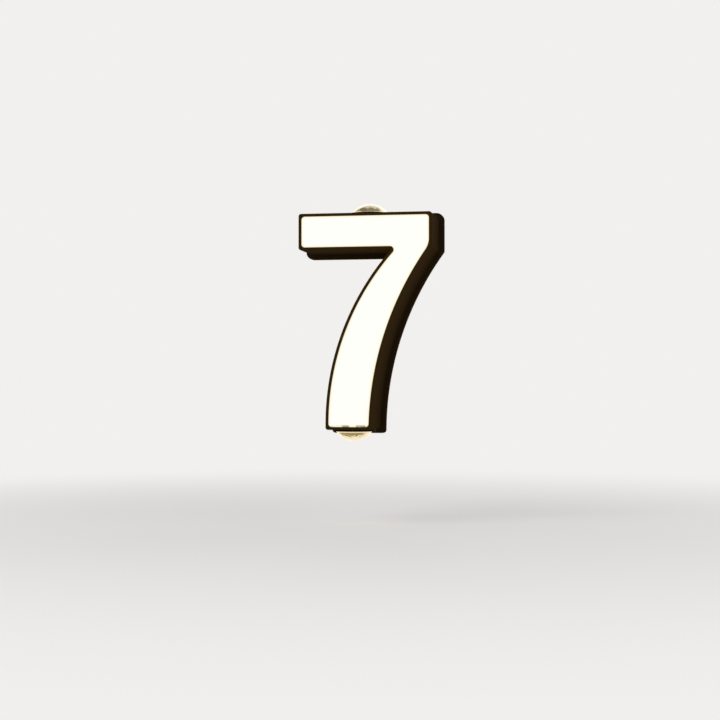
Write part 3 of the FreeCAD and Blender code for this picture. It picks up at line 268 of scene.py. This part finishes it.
def rim_distance(tree, coords):
    """The least of: half width less |x|, half height less |z|, the distance to the right
    centre less its radius, and the inner side: the larger of z less the bar's bottom and
    the left radius less the distance to the left centre, or by the notch the distance to
    the notch's centre less its radius."""
    x = add(tree, "SeparateXYZ", [coords], output="X")
    z = add(tree, "SeparateXYZ", [coords], output="Z")
    flat = add(tree, "VectorMath", [coords, (1, 0, 1)], operation="MULTIPLY")
    to_right, to_left, to_notch = [
        add(tree, "VectorMath", [flat, centre], output="Value", operation="DISTANCE")
        for centre in (RIGHT_CENTRE, LEFT_CENTRE, NOTCH_CENTRE)]
    side = add(tree, "Math", [HALF_WIDTH, add(tree, "Math", [x], operation="ABSOLUTE")],
               operation="SUBTRACT")
    end = add(tree, "Math", [HALF_HEIGHT, add(tree, "Math", [z], operation="ABSOLUTE")],
              operation="SUBTRACT")
    right = add(tree, "Math", [to_right, RIGHT_RADIUS], operation="SUBTRACT")
    over_bar = add(tree, "Math", [z, BAR_BOTTOM], operation="SUBTRACT")
    left = add(tree, "Math", [LEFT_RADIUS, to_left], operation="SUBTRACT")
    along = add(tree, "Math", [over_bar, left], operation="MAXIMUM")
    from_notch = add(tree, "VectorMath", [flat, NOTCH_CENTRE], operation="SUBTRACT")
    upwards = add(tree, "VectorMath", [from_notch, UP_THE_CURVE], output="Value",
                  operation="DOT_PRODUCT")
    beyond = add(tree, "Math", [upwards, 0.0], operation="GREATER_THAN")
    beside = add(tree, "Math", [x, NOTCH_CENTRE[0]], operation="GREATER_THAN")
    by_notch = add(tree, "Math", [beyond, beside], operation="MULTIPLY")
    round_notch = add(tree, "Math", [to_notch, NOTCH_ROUND], operation="SUBTRACT")
    corner = add(tree, "Math", [by_notch, round_notch], operation="MULTIPLY")
    inner = add(tree, "Math", [along, corner], operation="MAXIMUM")
    sides = add(tree, "Math", [right, inner], operation="MINIMUM")
    return rounded_least(tree, rounded_least(tree, side, sides), end)

# %% [markdown]
# The band is not perfectly even on the real panel, so noise moves its edge by up to half a
# millimetre, and at the foot, farthest from a chip, the last 2 mm has dim olive patches
# some 6 mm long: shade painted into the glow. These come from noise with a fourth
# coordinate, W, which only picks the pattern. The panel's own colour is kept low, because
# the studio's light falls on it as well and the two together should not burn the cream
# away. Past the rounded corners of the light the panel is as dark as the rim: there the
# glow and the panel's own colour are both painted dark, as painted shade of the ledge.

# %% Opal acrylic, lit
OPAL = "#77756c"
CREAM_FROM, CREAM_TO, WAVER = -0.4 * MM, 2.6 * MM, 0.5 * MM
DARK_AT, LIT_AT = -0.1 * MM, 0.3 * MM
# Painted shade: where along the foot, and at which noise values, the glow dims to olive.
FOOT_CLEAR, FOOT_DIM = -HALF_HEIGHT + 2.4 * MM, -HALF_HEIGHT + 0.8 * MM
DIM_PATCH_FROM, DIM_PATCH_FULL, DIM_PATCH_PATTERN = 0.43, 0.57, 1.7


def lit_opal_acrylic():
    """Opal PMMA, IOR 1.49: glows white, and cream within 3 mm of the rim, with painted shade
    at its corners and in patches at its foot.
    """
    material, tree, shader, coords = new_finish("opal_acrylic_lit", OPAL, IOR=1.49,
                                                Roughness=0.4, Specular_IOR_Level=0.3,
                                                Emission_Strength=0.84)
    relief(tree, shader, coords, size_mm=0.6, depth_mm=0.004, strength=0.3)
    uneven = add(tree, "TexNoise", {"Vector": coords, "Scale": scale_for(7)})
    shift = add(tree, "MapRange", [uneven, NOISE_LOW, NOISE_HIGH, -WAVER, WAVER])
    rim = rim_distance(tree, coords)
    edge = add(tree, "Math", [rim, shift], operation="ADD")
    warmth = add(tree, "MapRange", [edge, CREAM_FROM, CREAM_TO, 0.0, 1.0],
                 interpolation_type="SMOOTHSTEP")
    glow = add(tree, "Mix", {SHARE: warmth, FIRST: hex_to_linear("#fff6cc"),
                             SECOND: hex_to_linear("#fffefa")}, output=MIXED, data_type="RGBA")
    # Painted shade: dim olive patches in the glow along the foot.
    z = add(tree, "SeparateXYZ", [coords], output="Z")
    foot = add(tree, "MapRange", [z, FOOT_CLEAR, FOOT_DIM, 0.0, 1.0])
    dimming_cloud = add(tree, "TexNoise", {"Vector": coords, "W": DIM_PATCH_PATTERN,
                                    "Scale": scale_for(6)}, noise_dimensions="4D")
    patch = add(tree, "MapRange", [dimming_cloud, DIM_PATCH_FROM, DIM_PATCH_FULL, 0.0, 1.0])
    foot_shade = add(tree, "Math", [foot, patch], operation="MULTIPLY")
    shade = add(tree, "Mix", {SHARE: foot_shade, FIRST: glow, SECOND: hex_to_linear("#7d7648")},
                output=MIXED, data_type="RGBA")
    # Painted shade: past the rounded corners the glow and the base colour both turn as dark as
    # the rim.
    lit = add(tree, "MapRange", [rim, DARK_AT, LIT_AT, 0.0, 1.0])
    for socket, shaded, bright in (("Emission Color", "#2a1a08", shade),
                                 ("Base Color", RIM_BLACK, hex_to_linear(OPAL))):
        colour = add(tree, "Mix", {SHARE: lit, FIRST: hex_to_linear(shaded), SECOND: bright},
                     output=MIXED, data_type="RGBA")
        tree.links.new(colour, shader.inputs[socket])
    return material


smooth_copy(lit_opal_acrylic(), "face_diffuser")

# %% [markdown]
# ## Turned pieces: lens, collar, reflector
#
# The lens, the collar that clamps it and the reflector below it are all round, so each is
# one half section turned about an axis. CAD gives them as flat facets, which show at once
# in clear glass. Blender's Spin could turn a section too, but a surface of revolution is
# just the outer product of a section and a circle, which numpy works out as whole arrays.

# %% Turn a closed section
def turned_surface(section, steps):
    """Every section point (radius r, height h) goes round the circle:
    x = r cos(angle), y = r sin(angle), z = h. The section is a closed loop."""
    radius, height = np.array(section, float).T
    angle = np.linspace(0, 2 * np.pi, steps, endpoint=False)
    return np.stack([np.outer(np.cos(angle), radius), np.outer(np.sin(angle), radius),
                     np.outer(np.ones(steps), height)], axis=-1)


def closed_grid_mesh(name, grid):
    """Each four-sided face joins a grid point to its neighbours; both directions close."""
    steps, count = grid.shape[:2]
    row, column = np.meshgrid(np.arange(steps), np.arange(count), indexing="ij")
    after_row, after_column = (row + 1) % steps, (column + 1) % count
    faces = np.stack([row * count + column, after_row * count + column,
                      after_row * count + after_column, row * count + after_column], axis=-1)
    mesh = bpy.data.meshes.new(name)
    mesh.from_pydata(grid.reshape(-1, 3).tolist(), [], faces.reshape(-1, 4).tolist())
    return mesh


def arc(centre_r, centre_h, radius, start, stop, steps):
    """Points at radius from a centre, by angle in degrees from outwards (0) to up (90)."""
    angle = np.radians(np.linspace(start, stop, steps))
    return list(zip(centre_r + radius * np.cos(angle), centre_h + radius * np.sin(angle)))

# %% [markdown]
# Every turned piece is needed twice: above the number, and upside down below it. The
# section is drawn with the axis upright and the end face of the shell at height 0. The
# axis itself is measured from the CAD collar, so the piece sits exactly where it did.
# Sections are in millimetres, and the end faces are 100 mm from the middle of the number.

# %% Place a turned piece at both ends
END_FACE = 100.0
ENDS = {"upper": 1, "lower": -1}


def at_both_ends(label, section, steps, material):
    """Turns the section round each lamp's axis; the lower one is turned about x."""
    local = turned_surface(section, steps)
    for end, way in ENDS.items():
        low, high = (np.array(corner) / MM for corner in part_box(end + "_lens_ring"))
        axis = (low + high) / 2
        grid = np.stack([axis[0] + local[..., 0], axis[1] + local[..., 1] * way,
                         (END_FACE + local[..., 2]) * way], axis=-1) * MM
        part = end + "_" + label
        place_piece(part + "_turned", closed_grid_mesh(part, grid), material, part)

# %% [markdown]
# ### The glass
#
# Clear pressed glass, IOR 1.52, with a trace of warmth from the iron in it. The dome is a
# cap of a 20.5 mm sphere on a short neck and a flat flange. The light leaves through it, and
# the haze of the moulding lights up cream, as a painted glow of the glass. Between 3 and 6 mm
# above the end face the front and the back of the dome show the olive picture of chip and
# reflector, in patches 2 or 3 mm wide, painted into the glass in place of the view through
# it. A tint and a glow give both, mixed by a spot's height and by how far it is in front of
# or behind the axis.

# %% Lens
LENS_AXIS = float(np.mean([corner[1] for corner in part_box("upper_lens_ring")]))
# Painted view of chip and reflector: the heights and raggedness of the olive band.
OLIVE_FROM, OLIVE_FULL = 2.6 * MM, 3.4 * MM
OLIVE_FADES, OLIVE_ENDS, OLIVE_RAGGED = 5.4 * MM, 7.2 * MM, 1.4 * MM
SIDE_CLEAR, FRONT_FULL = 8 * MM, 12 * MM
PATCH_LOW, PATCH_HIGH = 0.35, 0.65


def pressed_glass_clear():
    """Glass with a painted cream glow, and a ragged olive band low on its front and back
    that paints in the chip and reflector seen through it.
    """
    material, tree, shader, coords = new_finish("pressed_glass_clear", "#d8c8a8", IOR=1.52,
                                                Roughness=0.03, Transmission_Weight=1.0,
                                                Emission_Strength=0.34)
    relief(tree, shader, coords, size_mm=5.0, depth_mm=0.02, strength=0.25)
    z = add(tree, "SeparateXYZ", [coords], output="Z")
    height = add(tree, "Math", [add(tree, "Math", [z], operation="ABSOLUTE"), END_FACE * MM],
                 operation="SUBTRACT")
    patches = add(tree, "TexNoise", {"Vector": coords, "Scale": scale_for(2.6), "Detail": 3.0})
    ripple = add(tree, "MapRange", [patches, PATCH_LOW, PATCH_HIGH, -OLIVE_RAGGED,
                                    OLIVE_RAGGED])
    place = add(tree, "Math", [height, ripple], operation="ADD")
    under = add(tree, "MapRange", [place, OLIVE_ENDS, OLIVE_FADES, 0.0, 1.0],
                interpolation_type="SMOOTHSTEP")
    over = add(tree, "MapRange", [height, OLIVE_FROM, OLIVE_FULL, 0.0, 1.0])
    y = add(tree, "SeparateXYZ", [coords], output="Y")
    off_axis = add(tree, "Math", [add(tree, "Math", [y, LENS_AXIS], operation="SUBTRACT")],
                   operation="ABSOLUTE")
    facing = add(tree, "MapRange", [off_axis, SIDE_CLEAR, FRONT_FULL, 0.0, 1.0])
    # Painted view of chip and reflector: an olive tint and glow in a band low on the dome's
    # front and back.
    band = add(tree, "Math", [under, over], operation="MULTIPLY")
    painted_view = add(tree, "Math", [band, facing], operation="MULTIPLY")
    for socket, clear, olive in (("Base Color", "#d6c6a4", "#584c1c"),
                                 ("Emission Color", "#fff0d0", "#7a6a2e")):
        colour = add(tree, "Mix", {SHARE: painted_view, FIRST: hex_to_linear(clear),
                                   SECOND: hex_to_linear(olive)}, output=MIXED, data_type="RGBA")
        tree.links.new(colour, shader.inputs[socket])
    return material


AROUND, DOME_STEPS = 128, 40
DOME_RADIUS, APEX, NECK, FLANGE, FLANGE_BACK, SHOULDER = 20.5, 10.9, 16.9, 17.8, -3.2, 0.6
dome_start = math.degrees(math.acos(NECK / DOME_RADIUS))
lens_section = ([(0, FLANGE_BACK), (FLANGE, FLANGE_BACK), (FLANGE, SHOULDER), (NECK, SHOULDER)]
                + arc(0, APEX - DOME_RADIUS, DOME_RADIUS, dome_start, 90, DOME_STEPS))
at_both_ends("lens", lens_section, AROUND, pressed_glass_clear())

# %% [markdown]
# ### The collar
#
# A low ring screws down on the lens. It is the same black ABS, but its tool was polished,
# so it is glossier than the shell, and its outer edge has a 0.8 mm round that catches a
# faint line of light.

# %% Collar
def polished_abs_black():
    """The shell's plastic with a finer relief, a lower roughness and no painted glow."""
    material, tree, shader, coords = new_finish("polished_abs_black", "#14100c", IOR=1.54,
                                                Specular_IOR_Level=0.01)
    relief(tree, shader, coords, size_mm=1.2, depth_mm=0.004, strength=0.3)
    drift(tree, shader, coords, 6.0, "#150f09", "#1c150c", rough=0.42, spread=0.04)
    return material


OPENING, SKIRT_INNER, SKIRT_OUTER, RIM = 17.0, 18.0, 18.9, 20.5
TOP, LIP, SKIRT_END, ROUND = 2.0, 0.6, -3.0, 0.8
collar_section = ([(OPENING, LIP), (SKIRT_INNER, LIP), (SKIRT_INNER, SKIRT_END),
                   (SKIRT_OUTER, SKIRT_END), (SKIRT_OUTER, 0), (RIM, 0)]
                  + arc(RIM - ROUND, TOP - ROUND, ROUND, 0, 90, 8) + [(OPENING, TOP)])
at_both_ends("lens_ring", collar_section, AROUND, polished_abs_black())

# %% [markdown]
# ### The reflector
#
# A cone of plastic with a bright metal film, evaporated on in a vacuum. The film follows
# every ripple of the moulding, so the mirror has a faint orange peel 1.5 mm across.

# %% Reflector
def vacuum_metallised_plastic():
    """A mirror film on a moulding that is not quite smooth."""
    material, tree, shader, coords = new_finish("vacuum_metallised_plastic", "#e6e2d6",
                                                Metallic=1.0, Roughness=0.12)
    relief(tree, shader, coords, size_mm=1.5, depth_mm=0.03, strength=0.5)
    return material


THROAT, MOUTH, CONE_WALL, THROAT_HEIGHT, MOUTH_HEIGHT = 4.4, 11.2, 0.8, -20.0, -6.4
reflector_section = [(THROAT, THROAT_HEIGHT), (THROAT + CONE_WALL, THROAT_HEIGHT),
                     (MOUTH + CONE_WALL, MOUTH_HEIGHT), (MOUTH, MOUTH_HEIGHT)]
at_both_ends("reflector", reflector_section, 96, vacuum_metallised_plastic())

# %% [markdown]
# ## Metals inside and behind
#
# Bright zinc on steel has soft grey patches a few millimetres wide. Brass is warmer and
# shinier where it was drawn. The heat sinks are raw extruded aluminium, with die lines
# along the length of the block. Each is a full metal, and only tint, gloss and relief set
# them apart.

# %% Zinc plate and brass
def plated_metal(name, first, second, rough):
    """A metal whose tint drifts between two hex shades over 4 mm."""
    material, tree, shader, coords = new_finish(name, first, Metallic=1.0)
    relief(tree, shader, coords, size_mm=0.8, depth_mm=0.006, strength=0.3)
    drift(tree, shader, coords, 4.0, first, second, rough, spread=0.06)
    return material


dress(plated_metal("zinc_plated_screws", "#b9bcc0", "#d4d6d9", 0.26), "lock_screws",
      "base_screws", "tray_screws", "heat_sink_screws", "upper_lamp_screws",
      "lower_lamp_screws", "driver_screws", "terminal_fixings", "earth_screw")
dress(plated_metal("zinc_plated_strip", "#a9acb0", "#c6c9cc", 0.34), "wall_bracket")
dress(plated_metal("drawn_brass", "#b98f3c", "#d3ab58", 0.28), "terminal_screws", "earth_tag")

# %% Extruded aluminium
def extruded_aluminium():
    """Die lines: noise 0.4 mm wide across the block and stretched 20 mm along it."""
    material, tree, shader, coords = new_finish("extruded_aluminium_raw", "#c9cbcd",
                                                Metallic=1.0, Roughness=0.38)
    across, along = scale_for(0.4), scale_for(20)
    stretched = add(tree, "Mapping", {"Vector": coords, "Scale": (across, across, along)})
    lines = add(tree, "TexNoise", {"Vector": stretched, "Scale": 1.0})
    bump = add(tree, "Bump", {"Height": lines, "Strength": 0.4, "Distance": 0.01 * MM})
    tree.links.new(bump, shader.inputs["Normal"])
    return material


dress(extruded_aluminium(), "upper_heat_sink", "lower_heat_sink")

# %% [markdown]
# ## Rubber, powder coat and mouldings
#
# Rubber is dark and matt, powder coat has an orange peel of about 1 mm, and the small
# mouldings are smooth with a soft sheen. They differ in a few numbers only, so one function
# makes them all.

# %% Dyed plastics, rubber and coatings
def dyed_surface(name, first, second, rough, ior, size_mm, depth_mm):
    """A surface between two hex shades, with its relief given in millimetres."""
    material, tree, shader, coords = new_finish(name, first, IOR=ior)
    relief(tree, shader, coords, size_mm, depth_mm, strength=0.5)
    drift(tree, shader, coords, 12.0, first, second, rough, spread=0.05)
    return material


rubber = dyed_surface("moulded_epdm_rubber", "#1d1d1d", "#262625", 0.72, 1.52, 0.6, 0.03)
dress(rubber, "base_gasket", "face_seal", "upper_lens_seal", "lower_lens_seal")
smooth_copy(rubber, "cable_grommet")
dress(dyed_surface("powder_coat_white", "#dfded9", "#e9e8e3", 0.45, 1.5, 1.0, 0.03), "led_tray")
dress(dyed_surface("moulded_polycarbonate_grey", "#cbcbc6", "#d6d5d0", 0.4, 1.58, 0.5, 0.012),
      "driver_case", "driver_lid")
dress(dyed_surface("moulded_nylon_cream", "#d9d2bc", "#e3dcc8", 0.38, 1.53, 0.5, 0.01),
      "terminal_block")
dress(dyed_surface("polyester_winding_tape", "#c79b22", "#dbb236", 0.35, 1.5, 0.9, 0.02),
      "driver_transformer")
smooth_copy(dyed_surface("shrink_sleeve_blue", "#141a33", "#1b2344", 0.25, 1.5, 1.0, 0.01),
            "driver_capacitor")

# %% [markdown]
# ## Circuit boards
#
# Solder mask is a glossy lacquer over copper. The tracks stand 0.03 mm proud and show as
# a slightly different shade. Drawn tracks would be hidden anyway, so cells 4 mm wide with
# straight sides stand for them.

# %% Solder mask
TRACK_FROM, TRACK_TO, TRACK_RISE = 0.30, 0.36, 0.03 * MM


def solder_mask(name, ground, track):
    """Lacquer in one shade, with cells in another that stand a little higher."""
    material, tree, shader, coords = new_finish(name, ground, IOR=1.52, Roughness=0.28)
    cells = add(tree, "TexVoronoi", {"Vector": coords, "Scale": scale_for(4)},
                distance="CHEBYCHEV")
    edge = add(tree, "MapRange", [cells, TRACK_FROM, TRACK_TO, 0.0, 1.0])
    colour = add(tree, "Mix", {SHARE: edge, FIRST: hex_to_linear(ground),
                               SECOND: hex_to_linear(track)}, output=MIXED, data_type="RGBA")
    tree.links.new(colour, shader.inputs["Base Color"])
    bump = add(tree, "Bump", {"Height": edge, "Strength": 0.5, "Distance": TRACK_RISE})
    tree.links.new(bump, shader.inputs["Normal"])
    return material


dress(solder_mask("solder_mask_white", "#eceae2", "#dddbd0"), "led_board", "upper_lamp_board",
      "lower_lamp_board")
dress(solder_mask("solder_mask_green", "#0e4a26", "#1c6a38"), "driver_board")

# %% [markdown]
# ## Leads
#
# PVC insulation is smooth and softly glossy. The protective earth is green with a yellow
# stripe, which on a real lead runs along it. These leads are short and hidden, so bands
# 3 mm wide across the sign show the two colours well enough.

# %% Insulation
def striped_pvc():
    """Green PVC with yellow bands, from a sine wave 6 mm long, cut at its middle."""
    green, yellow, wave_length = "#2f8f2a", "#d8c022", 6 * MM
    material, tree, shader, coords = new_finish("extruded_pvc_green_yellow", green, IOR=1.53,
                                                Roughness=0.32)
    x = add(tree, "SeparateXYZ", [coords], output="X")
    turns = add(tree, "Math", [x, 2 * math.pi / wave_length], operation="MULTIPLY")
    wave = add(tree, "Math", [turns], operation="SINE")
    band = add(tree, "MapRange", [wave, -0.1, 0.1, 0.0, 1.0])
    colour = add(tree, "Mix", {SHARE: band, FIRST: hex_to_linear(green),
                               SECOND: hex_to_linear(yellow)}, output=MIXED, data_type="RGBA")
    tree.links.new(colour, shader.inputs["Base Color"])
    return material


smooth_copy(dyed_surface("extruded_pvc_brown", "#5a2f14", "#6a3a1c", 0.32, 1.53, 0.6, 0.005),
            "live_lead")
smooth_copy(dyed_surface("extruded_pvc_blue", "#174aa8", "#2259bb", 0.32, 1.53, 0.6, 0.005),
            "neutral_lead")
smooth_copy(striped_pvc(), "earth_lead")
smooth_copy(dyed_surface("extruded_pvc_white", "#dfded8", "#eceae4", 0.32, 1.53, 0.6, 0.005),
            "face_leads", "upper_lamp_leads", "lower_lamp_leads")

# %% [markdown]
# ## Light chips
#
# Yellow phosphor grains in clear silicone. Switched on, they glow warm white, and the
# grain of 0.6 mm keeps them from looking like flat stickers.

# %% Phosphor
def phosphor_in_silicone(name, strength):
    """A chip that glows between two warm shades, grain by grain."""
    material, tree, shader, coords = new_finish(name, "#f0c64c", IOR=1.41, Roughness=0.3,
                                                Emission_Strength=strength)
    grains = add(tree, "TexNoise", {"Vector": coords, "Scale": scale_for(0.6)})
    glow = add(tree, "Mix", {SHARE: grains, FIRST: hex_to_linear("#ffc46b"),
                             SECOND: hex_to_linear("#ffe0a0")}, output=MIXED, data_type="RGBA")
    tree.links.new(glow, shader.inputs["Emission Color"])
    return material


dress(phosphor_in_silicone("phosphor_silicone_face", 1.0), "face_leds")
dress(phosphor_in_silicone("phosphor_silicone_lamp", 12.0), "upper_emitter", "lower_emitter")

# %% [markdown]
# ## Floor, light and camera
#
# The floor is plain and pale. It fades into the background with distance, so no horizon
# shows. The world is pale where the camera, a reflection or the glass looks at it, but
# lights the sign more gently, and three large soft lamps shape it like a studio tent.

# %% Floor
PAPER = "#f1f0ee"
BACKDROP = hex_to_linear(PAPER)


def pale_floor(level, reach, clear, gone):
    """A flat square that turns into the backdrop colour between two distances."""
    mesh = bpy.data.meshes.new("floor")
    mesh.from_pydata([(-reach, -reach, level), (reach, -reach, level), (reach, reach, level),
                      (-reach, reach, level)], [], [(0, 1, 2, 3)])
    floor = bpy.data.objects.new("floor", mesh)
    bpy.context.scene.collection.objects.link(floor)
    material, tree, shader, coords = new_finish("matt_paper", PAPER, Roughness=0.9)
    far = add(tree, "VectorMath", [coords], output="Value", operation="LENGTH")
    fade = add(tree, "MapRange", [far, clear, gone, 0.0, 1.0], interpolation_type="SMOOTHSTEP")
    backdrop = add(tree, "Emission", [BACKDROP, 1.0])
    mix = add(tree, "MixShader", [fade, shader.outputs[0], backdrop])
    tree.links.new(mix, tree.nodes["Material Output"].inputs["Surface"])
    mesh.materials.append(material)


pale_floor(level=-0.19, reach=6.0, clear=0.25, gone=0.95)

# %% World and lamps
SKY_LIGHT = 0.45
world = bpy.data.worlds.new("studio")
bpy.context.scene.world = world
world.use_nodes = True
sky = world.node_tree
sky.nodes.clear()
path = sky.nodes.new("ShaderNodeLightPath").outputs
reflected = add(sky, "Math", [path["Is Glossy Ray"], path["Is Transmission Ray"]],
                operation="MAXIMUM")
seen = add(sky, "Math", [path["Is Camera Ray"], reflected], operation="MAXIMUM")
lighting = add(sky, "Background", [hex_to_linear("#ffffff"), SKY_LIGHT])
surroundings = add(sky, "Background", [BACKDROP, 1.0])
either = add(sky, "MixShader", [seen, lighting, surroundings])
add(sky, "OutputWorld", {"Surface": either})


def soft_lamp(name, place, size, power):
    """A square area lamp whose -Z axis points from its place to the origin."""
    data = bpy.data.lights.new(name, "AREA")
    data.size, data.energy = size, power
    lamp = bpy.data.objects.new(name, data)
    bpy.context.scene.collection.objects.link(lamp)
    lamp.location = place
    away = np.array(place) / np.linalg.norm(place)
    lamp.rotation_euler = (math.acos(away[2]), 0, math.atan2(away[1], away[0]) + math.pi / 2)


soft_lamp("key", place=(-0.9, -1.3, 1.1), size=1.3, power=11)
soft_lamp("fill", place=(1.3, -0.9, 0.5), size=1.5, power=6)
soft_lamp("back", place=(0.3, 1.3, 0.9), size=2.0, power=8)

# %% [markdown]
# The camera stands 1.4 m in front of the sign, a little to the right and slightly below
# its middle, so that the right side and the underside of the bar show.

# %% Camera
CAMERA_AT = (0.2434, -1.3852, -0.0573)
FOCAL_PIXELS, FRAME_PIXELS, SENSOR = 1468.4, 720, 36.0
YAW, PITCH = math.radians(10.58), math.radians(0.92)
camera_data = bpy.data.cameras.new("camera")
camera_data.sensor_width = SENSOR
camera_data.lens = FOCAL_PIXELS / FRAME_PIXELS * SENSOR
camera = bpy.data.objects.new("camera", camera_data)
bpy.context.scene.collection.objects.link(camera)
camera.location = CAMERA_AT
camera.rotation_euler = (math.pi / 2 + PITCH, 0, YAW)
bpy.context.scene.camera = camera
bpy.context.scene.view_settings.view_transform = "Standard"
